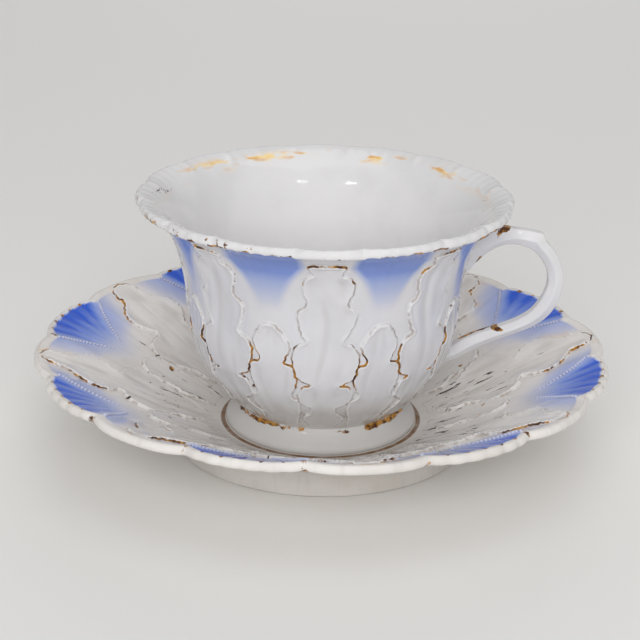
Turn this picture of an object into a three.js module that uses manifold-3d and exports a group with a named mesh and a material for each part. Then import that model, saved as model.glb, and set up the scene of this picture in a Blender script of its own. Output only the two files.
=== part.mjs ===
// A white porcelain cup on its saucer, both moulded in low relief: eight leaves with eight shaded
// shell panels between them run round each piece, so each rim is cut into sixteen shallow lobes.
// Millimetres, +Z up. The origin is the middle of the saucer's foot on the table, and the cup's
// handle points along +X. Azimuths start at -Y and turn towards +X.

import * as THREE from 'three';
import { mergeVertices } from 'three/addons/utils/BufferGeometryUtils.js';
import Module from 'manifold-3d';

const wasm = await Module();
wasm.setup();

// Ornament shared by the cup and the saucer
const LEAVES = 8;
const LEAF_RELIEF = 0.8;             // how far a leaf stands out of the wall
const LEAF_EDGE = 2.2;               // width of the slope at a leaf's edge
const LEAF_FADE = 4;                 // length over which the cup's leaves sink in at the neck and the rim

// Saucer
const SAUCER_RADIUS = 76;            // axis to the edge of a lobe
const SAUCER_HEIGHT = 25.5;          // table to the crest of the rim
const SAUCER_WALL = 2.5;             // at the well
const SAUCER_EDGE = 1.7;             // at the rim
const SAUCER_LOBE_DEPTH = 2.4;       // how far a notch cuts into the rim
const SAUCER_LOBES_FROM = 46;        // radius where the lobes start to show
const SAUCER_TURN = 7;               // degrees the saucer is turned under the cup
const SAUCER_LEAF_WIDTH = 17;
const SAUCER_LEAF_FROM = 31;         // radius of a leaf's root
const WELL_RADIUS = 27;
const WELL_CLEARANCE = 2.2;          // table to the underside of the well
const WELL_CURVE = new THREE.Vector2(6, 1.2);     // how the wall leaves the well
const RIM_CURVE = new THREE.Vector2(8, 2.1);      // how the wall comes up to the rim
const SAUCER_FOOT_RADIUS = 39.6;
const SAUCER_FOOT_WIDTH = 3.3;
const SAUCER_FOOT_ROUND = 0.6;       // worn corners of the foot

// Cup, with heights above its own base
const CUP_HEIGHT = 62.9;
const CUP_RIM_RADIUS = 48.8;
const CUP_WALL = 2.2;                // at the neck
const CUP_EDGE = 1.8;                // at the rim
const CUP_FLOOR = 3;                 // thickness of the bowl's floor over the foot
const CUP_FILLET = 3;                // slope from the floor to the inner wall
const CUP_LOBE_DEPTH = 1.3;
const CUP_LOBES_FROM = 40;           // height where the lobes start to show
const CUP_LEAF_LOBE = 19.3;          // degrees of the rim over a leaf: the shell lobes take the rest
const LEAF_BELLY = 27;               // height where the leaves are widest
const LEAF_ROOT_WIDTH = 6.5;         // at the neck
const TALL_LEAF_WIDTH = 14.5;
const TALL_LEAF_TIP_WIDTH = 9;
const SHORT_LEAF_WIDTH = 11;         // the short leaves stand between the tall ones
const SHORT_LEAF_TIP = 39;           // height of their tips
const BODY_RADIUS = 35.4;            // the upright middle of the bowl
const BODY_HEIGHT = 34;
const BODY_LEAN = 2.7;               // degrees that the wall leans out there
const BODY_BELOW = 15.1;             // pull of the upright wall on the curve below it
const BODY_ABOVE = 9.8;              // and on the curve above it
const NECK_RADIUS = 22;
const NECK_HEIGHT = 6;
const NECK_CURVE = new THREE.Vector2(7.6, 7.4);   // how the bowl leaves the neck
const FLARE_ANGLE = 15;              // degrees above level, at the lip
const FLARE_PULL = 8.7;
const CUP_FOOT_RADIUS = 25.5;
const CUP_FOOT_WIDTH = 4.2;          // width of the face it stands on
const CUP_FOOT_EDGE = 1.4;           // upright edge of the foot
const CUP_FOOT_WALL = 3.6;           // thickness at the neck

// Handle, in the plane of +X
const HANDLE_WIDTH = 5.6;            // across its plane
const HANDLE_ROUND = 1.5;
const HANDLE_GAP = 0.3;              // joint to the bowl
const HANDLE_DROP = 11;              // crest of the rim to the middle of the upper arm
const HANDLE_LOW = 22.1;             // cup's base to the middle of the lower end
// Centre line as reach out from the bowl's body, rise from 0 at the lower end to 1 at the upper arm,
// and thickness. The arm is broad under the rim, has a thumb spur and thins round the loop.
const HANDLE_LINE = [
  [1.1, 0.953, 12],
  [8.1, 0.987, 7.6],
  [13.3, 1, 4.7],
  [17.1, 0.983, 4.6],
  [19.9, 0.947, 5.8],
  [22.3, 0.843, 4.2],
  [24.1, 0.743, 3.9],
  [24.9, 0.63, 3.8],
  [24.7, 0.51, 4],
  [23.3, 0.397, 4.3],
  [20.9, 0.287, 4.6],
  [17.7, 0.2, 4.7],
  [12.5, 0.123, 4.3],
  [7.1, 0.063, 4.6],
  [2.1, 0, 5.4],
  [-2.5, -0.063, 6.4],
];

// Fineness of the meshes
const CUP_SEGMENTS = 112;
const SAUCER_SEGMENTS = 96;
const FOOT_SEGMENTS = 56;
const LIP_STEPS = 4;
const CURVE_STEPS = 10;
const DISH_STEPS = 12;
const HANDLE_STEPS = 34;
const HANDLE_ROUND_STEPS = 3;

const TAU = 2 * Math.PI;
const PITCH = TAU / LEAVES;
const rad = THREE.MathUtils.degToRad;
const { smoothstep, clamp, lerp } = THREE.MathUtils;
const point = (x, y) => new THREE.Vector2(x, y);

const porcelain = new THREE.MeshStandardMaterial({ color: 0xe6e5e4, roughness: 0.14, metalness: 0 });
const warmPorcelain = new THREE.MeshStandardMaterial({ color: 0xdedbd6, roughness: 0.16, metalness: 0 });

// Curves moved sideways by a distance that changes evenly along them, with the left of their way positive
function offset(points, first, last = first) {
  return points.map((p, i) => {
    const before = points[Math.max(i - 1, 0)];
    const after = points[Math.min(i + 1, points.length - 1)];
    const along = after.clone().sub(before).normalize();
    const distance = lerp(first, last, i / (points.length - 1));
    return p.clone().add(point(-along.y, along.x).multiplyScalar(distance));
  });
}

// The plain sides of the walls need only half the stations of the moulded ones.
const everySecond = (points) => points.filter((_, i) => i % 2 === 0);

// A half round from the underside of a wall to its top, about a centre, for a wall that rises at an angle.
function lip(centre, radius, rise) {
  return Array.from({ length: LIP_STEPS - 1 }, (_, i) => {
    const turn = rise - Math.PI / 2 + Math.PI * (i + 1) / LIP_STEPS;
    return point(Math.cos(turn), Math.sin(turn)).multiplyScalar(radius).add(centre);
  });
}

// Azimuth from the middle of the nearest leaf, from minus half a pitch to half a pitch
const fromLeaf = (azimuth) => THREE.MathUtils.euclideanModulo(azimuth + PITCH / 2, PITCH) - PITCH / 2;

// 0 in the middle of each lobe and 1 in the notches, which lie at one angle to each side of a leaf
function notchShare(angle, notch) {
  const a = Math.abs(angle);
  const share = a < notch ? a / notch : (PITCH / 2 - a) / (PITCH / 2 - notch);
  return share * share;
}

// A raised leaf: 1 on it, 0 off it, with a soft edge
const leafShare = (across, halfWidth) => smoothstep(halfWidth - Math.abs(across), 0, LEAF_EDGE);

// A turned body. Each station of its profile has a point and a kind, and the ornament says how far
// a point of that station moves out and up at an azimuth.
function turned(stations, segments, ornament, start = 0) {
  const geometry = new THREE.LatheGeometry(stations.map((s) => s.at), segments, start, TAU);
  geometry.rotateX(Math.PI / 2);
  const position = geometry.getAttribute('position');
  for (let i = 0; i < position.count; i += 1) {
    const station = stations[i % stations.length];
    const azimuth = start + TAU * Math.floor(i / stations.length) / segments;
    const [out, up] = ornament(station, azimuth - start);
    position.setX(i, position.getX(i) + out * Math.sin(azimuth));
    position.setY(i, position.getY(i) - out * Math.cos(azimuth));
    position.setZ(i, position.getZ(i) + up);
  }
  return closed(geometry);
}

// Leaves only positions, with shared corners merged.
function closed(geometry) {
  geometry.deleteAttribute('normal');
  geometry.deleteAttribute('uv');
  return mergeVertices(geometry);
}

const plain = () => [0, 0];
const stations = (kind, points) => points.map((at) => ({ kind, at }));

// Saucer dish: one wall that thins towards the rim, with a flat seat underneath for the foot ring

const wellFloor = WELL_CLEARANCE + SAUCER_WALL;
const footInside = SAUCER_FOOT_RADIUS - SAUCER_FOOT_WIDTH;
const saucerLip = SAUCER_EDGE / 2;
const saucerLipCentre = point(SAUCER_RADIUS - saucerLip, SAUCER_HEIGHT - saucerLip);
const rimRise = RIM_CURVE.angle();
const dishTop = new THREE.CubicBezierCurve(
  point(WELL_RADIUS, wellFloor),
  point(WELL_RADIUS, wellFloor).add(WELL_CURVE),
  point(-Math.sin(rimRise), Math.cos(rimRise)).multiplyScalar(saucerLip).add(saucerLipCentre).sub(RIM_CURVE),
  point(-Math.sin(rimRise), Math.cos(rimRise)).multiplyScalar(saucerLip).add(saucerLipCentre),
).getPoints(DISH_STEPS);
const dishUnder = everySecond(offset(dishTop, -SAUCER_WALL, -SAUCER_EDGE));

// Height of the dish's underside at a radius
function underside(radius) {
  const next = dishUnder.findIndex((p) => p.x > radius);
  const [a, b] = [dishUnder[next - 1], dishUnder[next]];
  return lerp(a.y, b.y, (radius - a.x) / (b.x - a.x));
}

const footSeat = underside(footInside);
const saucerNotch = PITCH / 4;       // the saucer's lobes are all of one width

function saucerOrnament({ kind, at }, azimuth) {
  const angle = fromLeaf(azimuth);
  const notch = notchShare(angle, saucerNotch);
  const out = -SAUCER_LOBE_DEPTH * notch * smoothstep(at.x, SAUCER_LOBES_FROM, SAUCER_RADIUS);
  const root = smoothstep(at.x, SAUCER_LEAF_FROM, SAUCER_LOBES_FROM);
  const leaf = kind === 'top' ? leafShare(at.x * angle, root * SAUCER_LEAF_WIDTH / 2) : 0;
  return [out, LEAF_RELIEF * leaf * root];
}

function saucerDish() {
  const profile = [
    ...stations('under', [point(0, WELL_CLEARANCE)]),
    ...stations('under', dishUnder.filter((p) => p.x < footInside)),
    ...stations('under', [point(footInside, footSeat), point(SAUCER_FOOT_RADIUS, footSeat)]),
    ...stations('under', [point(SAUCER_FOOT_RADIUS, underside(SAUCER_FOOT_RADIUS))]),
    ...stations('under', dishUnder.filter((p) => p.x > SAUCER_FOOT_RADIUS)),
    ...stations('lip', lip(saucerLipCentre, saucerLip, rimRise)),
    ...stations('top', dishTop.toReversed()),
    ...stations('well', [point(0, wellFloor)]),
  ];
  return turned(profile, SAUCER_SEGMENTS, saucerOrnament, rad(SAUCER_TURN));
}

function saucerFootRing() {
  const profile = [
    point(footInside, footSeat),
    point(footInside, SAUCER_FOOT_ROUND),
    point(footInside + SAUCER_FOOT_ROUND, 0),
    point(SAUCER_FOOT_RADIUS - SAUCER_FOOT_ROUND, 0),
    point(SAUCER_FOOT_RADIUS, SAUCER_FOOT_ROUND),
    point(SAUCER_FOOT_RADIUS, footSeat),
    point(footInside, footSeat),
  ];
  return turned(stations('foot', profile), SAUCER_SEGMENTS, plain, rad(SAUCER_TURN));
}

// Cup bowl: the outer wall in two curves that meet at the upright body, and a plain inside

const cupLip = CUP_EDGE / 2;
const cupLipCentre = point(CUP_RIM_RADIUS - cupLip, CUP_HEIGHT - cupLip);
const flare = rad(FLARE_ANGLE);
const body = point(BODY_RADIUS, BODY_HEIGHT);
const bodyWay = point(Math.sin(rad(BODY_LEAN)), Math.cos(rad(BODY_LEAN)));
const flareWay = point(Math.cos(flare), Math.sin(flare));
const neck = point(NECK_RADIUS, NECK_HEIGHT);
const rimUnder = point(Math.sin(flare), -Math.cos(flare)).multiplyScalar(cupLip).add(cupLipCentre);
const lowerWall = new THREE.CubicBezierCurve(
  neck,
  neck.clone().add(NECK_CURVE),
  body.clone().addScaledVector(bodyWay, -BODY_BELOW),
  body,
).getPoints(CURVE_STEPS);
const upperWall = new THREE.CubicBezierCurve(
  body,
  body.clone().addScaledVector(bodyWay, BODY_ABOVE),
  rimUnder.clone().addScaledVector(flareWay, -FLARE_PULL),
  rimUnder,
).getPoints(CURVE_STEPS);
const outerWall = [...lowerWall, ...upperWall.slice(1)];
const cupFloor = NECK_HEIGHT + CUP_FLOOR;
const cupNotch = rad(CUP_LEAF_LOBE / 2);

function cupOrnament({ kind, at }, azimuth) {
  if (kind === 'floor') return [0, 0];
  const angle = fromLeaf(azimuth);
  const lobes = smoothstep(at.y, CUP_LOBES_FROM, CUP_HEIGHT);
  const out = -CUP_LOBE_DEPTH * notchShare(angle, cupNotch) * lobes;
  if (kind !== 'wall') return [out, 0];
  const toRoot = smoothstep(LEAF_BELLY - at.y, 0, LEAF_BELLY - NECK_HEIGHT);
  const toRim = smoothstep(at.y, LEAF_BELLY, CUP_HEIGHT);
  const toTip = clamp((SHORT_LEAF_TIP - at.y) / (SHORT_LEAF_TIP - LEAF_BELLY), 0, 1);
  const tallWidth = lerp(lerp(TALL_LEAF_WIDTH, LEAF_ROOT_WIDTH, toRoot), TALL_LEAF_TIP_WIDTH, toRim);
  const shortWidth = lerp(SHORT_LEAF_WIDTH, LEAF_ROOT_WIDTH, toRoot) * Math.sqrt(toTip);
  const tall = leafShare(at.x * angle, tallWidth / 2);
  const short = leafShare(at.x * (PITCH / 2 - Math.abs(angle)), shortWidth / 2);
  const fade = smoothstep(at.y, NECK_HEIGHT, NECK_HEIGHT + LEAF_FADE)
    * smoothstep(CUP_HEIGHT - at.y, 0, LEAF_FADE);
  return [out + LEAF_RELIEF * Math.max(tall, short) * fade, 0];
}

function cupBowl() {
  const inside = everySecond(offset(outerWall, CUP_WALL, CUP_EDGE));
  const innerWall = inside.filter((p) => p.y > cupFloor).toReversed();
  const profile = [
    ...stations('floor', [point(0, NECK_HEIGHT)]),
    ...stations('wall', outerWall),
    ...stations('lip', lip(cupLipCentre, cupLip, flare)),
    ...stations('inside', innerWall),
    ...stations('floor', [point(innerWall.at(-1).x - CUP_FILLET, cupFloor), point(0, cupFloor)]),
  ];
  return turned(profile, CUP_SEGMENTS, cupOrnament);
}

// The bowl as a solid plug, larger by a joint's gap: it trims the handle's ends.
function bowlPlug() {
  const wall = offset(outerWall, -HANDLE_GAP);
  const profile = [
    ...stations('floor', [point(0, wall[0].y)]),
    ...stations('wall', wall),
    ...stations('lip', [point(wall.at(-1).x, CUP_HEIGHT)]),
    ...stations('floor', [point(0, CUP_HEIGHT)]),
  ];
  return turned(profile, CUP_SEGMENTS, cupOrnament);
}

function cupFoot() {
  const neckInside = NECK_RADIUS - CUP_FOOT_WALL;
  const waist = new THREE.QuadraticBezierCurve(
    point(CUP_FOOT_RADIUS, CUP_FOOT_EDGE),
    point(NECK_RADIUS, CUP_FOOT_EDGE),
    point(NECK_RADIUS, NECK_HEIGHT),
  ).getPoints(CURVE_STEPS / 2);
  const profile = [
    point(neckInside, NECK_HEIGHT),
    point(CUP_FOOT_RADIUS - CUP_FOOT_WIDTH, 0),
    point(CUP_FOOT_RADIUS, 0),
    ...waist,
    point(neckInside, NECK_HEIGHT),
  ];
  return turned(stations('foot', profile), FOOT_SEGMENTS, plain);
}

// Handle: an outline at half the thickness to each side of the centre line, extruded with round edges

function handleBlank() {
  const heightAt = (rise) => lerp(HANDLE_LOW, CUP_HEIGHT - HANDLE_DROP, rise);
  const centres = HANDLE_LINE.map(([reach, rise]) => point(BODY_RADIUS + reach, heightAt(rise)));
  const line = new THREE.SplineCurve(centres);
  const thickness = new THREE.SplineCurve(HANDLE_LINE.map(([, , thick], i) => point(i, thick)));
  const steps = Array.from({ length: HANDLE_STEPS + 1 }, (_, i) => i / HANDLE_STEPS);
  const side = (sign) => steps.map((t) => {
    const way = line.getTangent(t);
    const half = sign * thickness.getPoint(t).y / 2;
    return line.getPoint(t).add(point(-way.y, way.x).multiplyScalar(half));
  });
  const outline = new THREE.Shape([...side(1), ...side(-1).toReversed()]);
  const geometry = new THREE.ExtrudeGeometry(outline, {
    depth: HANDLE_WIDTH - 2 * HANDLE_ROUND,
    bevelThickness: HANDLE_ROUND,
    bevelSize: HANDLE_ROUND,
    bevelOffset: -HANDLE_ROUND,
    bevelSegments: HANDLE_ROUND_STEPS,
  });
  geometry.translate(0, 0, HANDLE_ROUND - HANDLE_WIDTH / 2);
  geometry.rotateX(Math.PI / 2);
  return closed(geometry);
}

function toSolid(geometry) {
  const index = geometry.getIndex().array;
  const corners = [];
  for (let i = 0; i < index.length; i += 3) {
    const [a, b, c] = index.subarray(i, i + 3);
    if (a !== b && b !== c && a !== c) corners.push(a, b, c);
  }
  const vertProperties = new Float32Array(geometry.getAttribute('position').array);
  return new wasm.Manifold(new wasm.Mesh({ numProp: 3, vertProperties, triVerts: new Uint32Array(corners) }));
}

function cupHandle() {
  const { vertProperties, triVerts } = toSolid(handleBlank()).subtract(toSolid(bowlPlug())).getMesh();
  const geometry = new THREE.BufferGeometry();
  geometry.setAttribute('position', new THREE.BufferAttribute(vertProperties, 3));
  geometry.setIndex(new THREE.BufferAttribute(triVerts, 1));
  return geometry;
}

function named(name, geometry, material) {
  const mesh = new THREE.Mesh(geometry, material);
  mesh.name = name;
  return mesh;
}

const saucer = new THREE.Group();
saucer.add(named('saucer_dish', saucerDish(), warmPorcelain));
saucer.add(named('saucer_foot_ring', saucerFootRing(), warmPorcelain));

// The cup stands on the floor of the well.
const cup = new THREE.Group();
cup.position.z = wellFloor;
cup.add(named('cup_bowl', cupBowl(), porcelain));
cup.add(named('cup_foot', cupFoot(), porcelain));
cup.add(named('cup_handle', cupHandle(), porcelain));

const cupWithSaucer = new THREE.Group();
cupWithSaucer.add(saucer, cup);

export default cupWithSaucer;
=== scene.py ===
# %% [markdown]
# A porcelain tea cup on its saucer, dressed in Blender
#
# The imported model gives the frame: a bowl, a foot and a handle on the body "cup", and a dish and a
# foot ring on the body "saucer". Here each of them is modelled again as a fine mesh with its moulded
# leaves, flutes and scallops, and gets a glaze with airbrushed blue and worn gilding. Everything is
# worked out in millimetres and written to the meshes in metres.

# %% Load the frame
import math

import bmesh
import bpy
import numpy as np
from mathutils import Matrix, Vector, kdtree
from mathutils.geometry import interpolate_bezier


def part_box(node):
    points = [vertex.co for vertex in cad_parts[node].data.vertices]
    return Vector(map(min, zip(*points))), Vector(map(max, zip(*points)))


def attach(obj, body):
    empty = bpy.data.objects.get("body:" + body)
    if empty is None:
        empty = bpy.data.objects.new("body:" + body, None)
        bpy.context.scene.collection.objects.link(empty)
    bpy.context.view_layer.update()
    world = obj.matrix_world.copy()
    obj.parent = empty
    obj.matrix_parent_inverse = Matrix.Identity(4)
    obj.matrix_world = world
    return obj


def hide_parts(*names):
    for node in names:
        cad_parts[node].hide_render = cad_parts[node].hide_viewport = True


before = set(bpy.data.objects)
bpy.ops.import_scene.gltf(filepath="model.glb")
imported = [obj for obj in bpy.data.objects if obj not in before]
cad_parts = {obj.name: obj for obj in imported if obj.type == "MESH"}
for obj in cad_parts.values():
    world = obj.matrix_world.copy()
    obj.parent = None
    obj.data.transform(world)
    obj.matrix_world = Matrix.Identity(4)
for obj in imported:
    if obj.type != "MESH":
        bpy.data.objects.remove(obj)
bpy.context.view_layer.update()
MM = 0.001

# %% [markdown]
# The camera
#
# The photograph was taken from a little above, with a long lens. The camera's place, its tilt and its
# slight roll were found by fitting the rims and the foot rings, so the render has the photograph's
# frame and needs no lens shift.

# %% Place the camera
CAMERA_DISTANCE = 425  # along the floor, from the axis of the cup
CAMERA_HEIGHT = 193.1
CAMERA_AZIMUTH = -1.6  # degrees from the front, towards the handle
CAMERA_YAW = 0.09  # degrees that it looks to the left of the axis
CAMERA_PITCH = 20.72  # degrees down
CAMERA_ROLL = 1.21
CAMERA_LENS = 96.67

camera = bpy.data.objects.new("camera", bpy.data.cameras.new("camera"))
camera.data.lens = CAMERA_LENS
camera.data.sensor_width = 36
camera.data.clip_start = 0.01
turn = Matrix.Rotation(math.radians(CAMERA_AZIMUTH), 4, "Z")
place = Matrix.Translation((0, -CAMERA_DISTANCE * MM, CAMERA_HEIGHT * MM))
yaw = Matrix.Rotation(math.radians(CAMERA_YAW), 4, "Z")
tilt = Matrix.Rotation(math.radians(90 - CAMERA_PITCH), 4, "X")
roll = Matrix.Rotation(math.radians(CAMERA_ROLL), 4, "Z")
camera.matrix_world = turn @ place @ yaw @ tilt @ roll
bpy.context.scene.collection.objects.link(camera)
bpy.context.scene.camera = camera
print("camera at", [round(c / MM) for c in camera.matrix_world.translation])

# %% [markdown]
# Turned bodies
#
# Cup, foot and saucer were all formed on a wheel mould, so each starts as a profile that is spun round
# the axis. A spin of hundreds of steps is slow, so only one eighth is spun, and that sector is doubled
# three times and welded. The profile keeps its own length in a vertex layer called "along", which the
# spin copies to every vertex, so the ornament can tell the outer wall from the lip and the inside.

# %% Helpers for profiles
SAME_POINT = 0.01  # points closer than this count as one


def curve(start, pull_start, pull_end, end, count=200):
    """Points of a Bezier curve with its two pulls given from its ends."""
    start, end = Vector(start), Vector(end)
    after, before = start + Vector(pull_start), end + Vector(pull_end)
    return np.array(interpolate_bezier(start, after, before, end, count))


def cubic(points, at):
    """A smooth curve through rows of numbers one step apart, read at some steps."""
    slopes = np.gradient(points, axis=0)
    i = np.clip(at.astype(int), 0, len(points) - 2)
    t = (at - i)[:, None]
    from_start = (2 * t ** 3 - 3 * t ** 2 + 1) * points[i] + (t ** 3 - 2 * t ** 2 + t) * slopes[i]
    from_end = (3 * t ** 2 - 2 * t ** 3) * points[i + 1] + (t ** 3 - t ** 2) * slopes[i + 1]
    return from_start + from_end


def lengths(points):
    """Length along a line of points, at each of them."""
    steps = np.hypot(*np.diff(points, axis=0).T)
    return np.concatenate([[0], np.cumsum(steps)])


def evenly(points, spacing):
    """The same line with points about one spacing apart."""
    along = lengths(points)
    count = max(2, round(along[-1] / spacing) + 1)
    at = np.linspace(0, along[-1], count)
    return np.column_stack([np.interp(at, along, points[:, k]) for k in (0, 1)])


def through(points, spacing, steps=20):
    """A smooth line through a few points, divided evenly."""
    points = np.array(points, float)
    return evenly(cubic(points, np.linspace(0, len(points) - 1, steps * len(points))), spacing)


def sideways(points):
    """Unit vectors to the right of the way along a line."""
    way = np.gradient(points, axis=0)
    way /= np.linalg.norm(way, axis=1)[:, None]
    return np.column_stack([way[:, 1], -way[:, 0]])


def half_round(centre, radius, rise, steps=10):
    """The edge of a wall that rises at an angle, from its underside to its top."""
    turns = rise - math.pi / 2 + math.pi * np.arange(1, steps) / steps
    return np.array(centre) + radius * np.column_stack([np.cos(turns), np.sin(turns)])


def joined(*lines):
    """Lines one after another, without the points that two of them share."""
    points = np.vstack(lines)
    keep = np.concatenate([[True], np.hypot(*np.diff(points, axis=0).T) > SAME_POINT])
    return points[keep]


# %% Helpers for meshes
DOUBLINGS = 3
LEAVES = 2 ** DOUBLINGS
WELD = 1e-6  # metres within which vertices are welded


def spun(name, profile, steps):
    """A mesh object turned from a profile of radius and height: one leaf's sector, copied round."""
    bm = bmesh.new()
    layer = bm.verts.layers.float.new("along")
    verts = [bm.verts.new((r * MM, 0, z * MM)) for r, z in profile]
    for vert, along in zip(verts, lengths(profile)):
        vert[layer] = along
    edges = [bm.edges.new(pair) for pair in zip(verts, verts[1:])]
    if np.allclose(profile[0], profile[-1]):
        bmesh.ops.remove_doubles(bm, verts=[verts[0], verts[-1]], dist=WELD)
        verts, edges = list(bm.verts), list(bm.edges)
    sector = math.tau / LEAVES
    bmesh.ops.spin(bm, geom=verts + edges, cent=(0, 0, 0), axis=(0, 0, 1), angle=sector,
                   steps=steps // LEAVES)
    for doubling in range(DOUBLINGS):
        copy = bmesh.ops.duplicate(bm, geom=[*bm.verts, *bm.edges, *bm.faces])["geom"]
        bmesh.ops.rotate(bm, verts=[v for v in copy if isinstance(v, bmesh.types.BMVert)],
                         cent=(0, 0, 0), matrix=Matrix.Rotation(sector * 2 ** doubling, 3, "Z"))
    bmesh.ops.remove_doubles(bm, verts=list(bm.verts), dist=WELD)
    bmesh.ops.recalc_face_normals(bm, faces=list(bm.faces))
    return finished(bm, name)


def finished(bm, name):
    """A smooth mesh object from a bmesh."""
    mesh = bpy.data.meshes.new(name)
    bm.to_mesh(mesh)
    bm.free()
    mesh.shade_smooth()
    obj = bpy.data.objects.new(name, mesh)
    bpy.context.scene.collection.objects.link(obj)
    print(name, len(mesh.vertices), "vertices", len(mesh.polygons), "faces")
    return obj


def values(mesh, name):
    """A vertex layer as an array."""
    data = np.empty(len(mesh.vertices), np.float32)
    mesh.attributes[name].data.foreach_get("value", data)
    return data.astype(float)


def polar(mesh):
    """Radius, azimuth from the front towards the handle, and height of each vertex, in mm."""
    co = np.empty(3 * len(mesh.vertices), np.float32)
    mesh.vertices.foreach_get("co", co)
    x, y, z = co.reshape(-1, 3).T.astype(float) / MM
    return np.hypot(x, y), np.arctan2(x, -y), z


def set_polar(mesh, radius, azimuth, height):
    co = np.column_stack([radius * np.sin(azimuth), -radius * np.cos(azimuth), height]) * MM
    mesh.vertices.foreach_set("co", co.astype(np.float32).ravel())
    mesh.update()


def smooth(low, high, x):
    """0 below low, 1 above high, and an S between them. Low may be the higher number."""
    t = np.clip((x - low) / (high - low), 0, 1)
    return t * t * (3 - 2 * t)


def hump(x, width):
    """A round ridge of height 1 at 0, gone at one width to each side."""
    t = np.clip(np.abs(x) / width, 0, 1)
    return (1 - t * t) ** 2


def dab(x, place, width, strength=1):
    """A round ridge at some place, with its width to each side and its height."""
    return strength * hump(x - place, width)


# %% [markdown]
# What the glaze is told
#
# The decorator's work is kept in vertex layers, so that colour follows the moulding: where blue was
# sprayed, how far a point lies from the edge of a tall leaf and of a short one (positive on the leaf),
# how much gold was laid along those edges, where there are gold bands, pale gold and specks, and how far
# it is to the brown ring round the cup's foot on the saucer, which is part worn gilding and part painted
# shadow. One more layer holds painted shade: darker towards the cup's foot and the saucer's well, in the
# folds of the leaves and on both feet.

# %% Layers for the glaze
OFF_LEAF = -4  # a distance that is well clear of any line
LAYERS = {"blue": 0, "leaf": OFF_LEAF, "leaflet": OFF_LEAF, "gilt": 0, "band": 0, "wash": 0,
          "ring": OFF_LEAF, "grime": 0, "specks": 0}


def distance_layer(where, distance):
    """A distance where it counts, and elsewhere too far off to be seen."""
    return np.where(where, np.maximum(distance, OFF_LEAF), OFF_LEAF)


def decorate(mesh, **layers):
    """Writes the layers that the glaze reads, with plain white for those not given."""
    for name, plain in LAYERS.items():
        data = np.broadcast_to(layers.get(name, plain), len(mesh.vertices))
        mesh.attributes.new(name, "FLOAT", "POINT").data.foreach_set("value", data.astype(np.float32))


# %% [markdown]
# The leaf ornament
#
# Eight tall leaves stand round the cup, with a short leaf between each two, and the saucer repeats the
# design on its rim. One side of a leaf is set with a few listed points, its mirror image makes the other
# side, and small ripples make both look cut by hand. Working with the distance to that outline gives
# three things at once: the raised leaf with its rolled edge, the groove beside it, and the line where
# the gilder's brush ran.

# %% Leaf outlines
PITCH = math.tau / LEAVES
RIPPLE_LONG, RIPPLE_SHORT = 2.6, 1.7  # lengths of the small waves in a leaf's edge
SHORT_SHARE = 0.7  # height of the short waves against the long ones
STILL_FOOT, STILL_TIP = 3, 2  # stretches of the edge where the waves die out
FINENESS = 0.15
SLOPE, HOLLOW = (-0.3, 0.5), (0.8, 4)  # where a leaf rises at its edge and sinks behind it
ROLLED, GROOVE = (0.35, 0.62), (-0.5, 0.65)  # place and width of the rolled edge and the groove
HOLLOW_SHARE, GROOVE_SHARE = 0.6, 0.5  # their depths against the leaf's height
SWAYS = ((0.22, 3.9, 2.4), (0.13, 1.7, 1.3))  # height, length, and shift from leaf to leaf
# Waves of the folds: height, closeness, bend, slowness of the bend, and shift from leaf to leaf
FOLD_WAVES = ((1, 1, 1.6, 0.19, 1), (0.5, 1.7, -2, 0.13, 2))


def leaf_outline(points, heights, along, ripple):
    """A closed outline on a wall, from points of half-width and height on one side of a leaf."""
    points = np.array(points, float)
    side = through(np.column_stack([points[:, 0], np.interp(points[:, 1], heights, along)]), FINENESS)
    way = lengths(side)
    still = smooth(0, STILL_FOOT, way) * smooth(way[-1], way[-1] - STILL_TIP, way)
    sides = []
    for mirror, start in ((1, 0), (-1, 2)):
        wave = np.sin(math.tau * way / RIPPLE_LONG + start)
        wave += SHORT_SHARE * np.sin(math.tau * way / RIPPLE_SHORT - start)
        sides.append((side + sideways(side) * (ripple * wave * still)[:, None]) * (mirror, 1))
    return np.vstack([sides[0], sides[1][::-1]])


def edge_distance(outline, across, up):
    """Distance of points from a leaf's outline, positive inside the leaf."""
    tree = kdtree.KDTree(len(outline))
    for i, (x, y) in enumerate(outline):
        tree.insert((x, y, 0), i)
    tree.balance()
    nearest = np.array([tree.find((x, y, 0))[1] for x, y in zip(across, up)])
    reach = np.column_stack([across, up]) - outline[nearest]
    inside = np.zeros(len(across), bool)
    corners = outline[::4]
    for (x0, y0), (x1, y1) in zip(corners, np.roll(corners, -1, axis=0)):
        if y0 != y1:
            between = (up < y0) != (up < y1)
            inside ^= between & (across < x0 + (up - y0) * (x1 - x0) / (y1 - y0))
    away = np.hypot(*reach.T)
    square = -np.sum(reach * sideways(outline)[nearest], axis=1)
    return np.where(away < 3 * FINENESS, square, np.where(inside, away, -away))


def nearest_leaf(azimuth):
    """Azimuth from the middle of the nearest leaf, and that leaf's number."""
    number = np.round(azimuth / PITCH)
    return azimuth - number * PITCH, number


def sway(number, up):
    """A small drift that differs from leaf to leaf, as on a mould cut by hand."""
    return sum(high * np.sin(up / long + shift * number) for high, long, shift in SWAYS)


def leaf_edges(leaves, heights, along, ripple, drift, azimuth, radius, at):
    """Distances from the edges of the tall leaves, and of the short ones that lie behind them."""
    distances = []
    for points, turn in zip(leaves, (0, PITCH / 2)):
        angle, number = nearest_leaf(azimuth - turn)
        across = angle * radius + drift * sway(number + turn / PITCH, at)
        distances.append(edge_distance(leaf_outline(points, heights, along, ripple), across, at))
    from_tall, from_short = distances
    return from_tall, np.minimum(from_short, -from_tall)


def notch_share(angle, notch):
    """0 in the middle of each lobe of a rim and 1 in the notches to each side of a leaf."""
    a = np.abs(angle)
    share = np.where(a < notch, a / notch, (PITCH / 2 - a) / (PITCH / 2 - notch))
    return share ** 3


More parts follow.
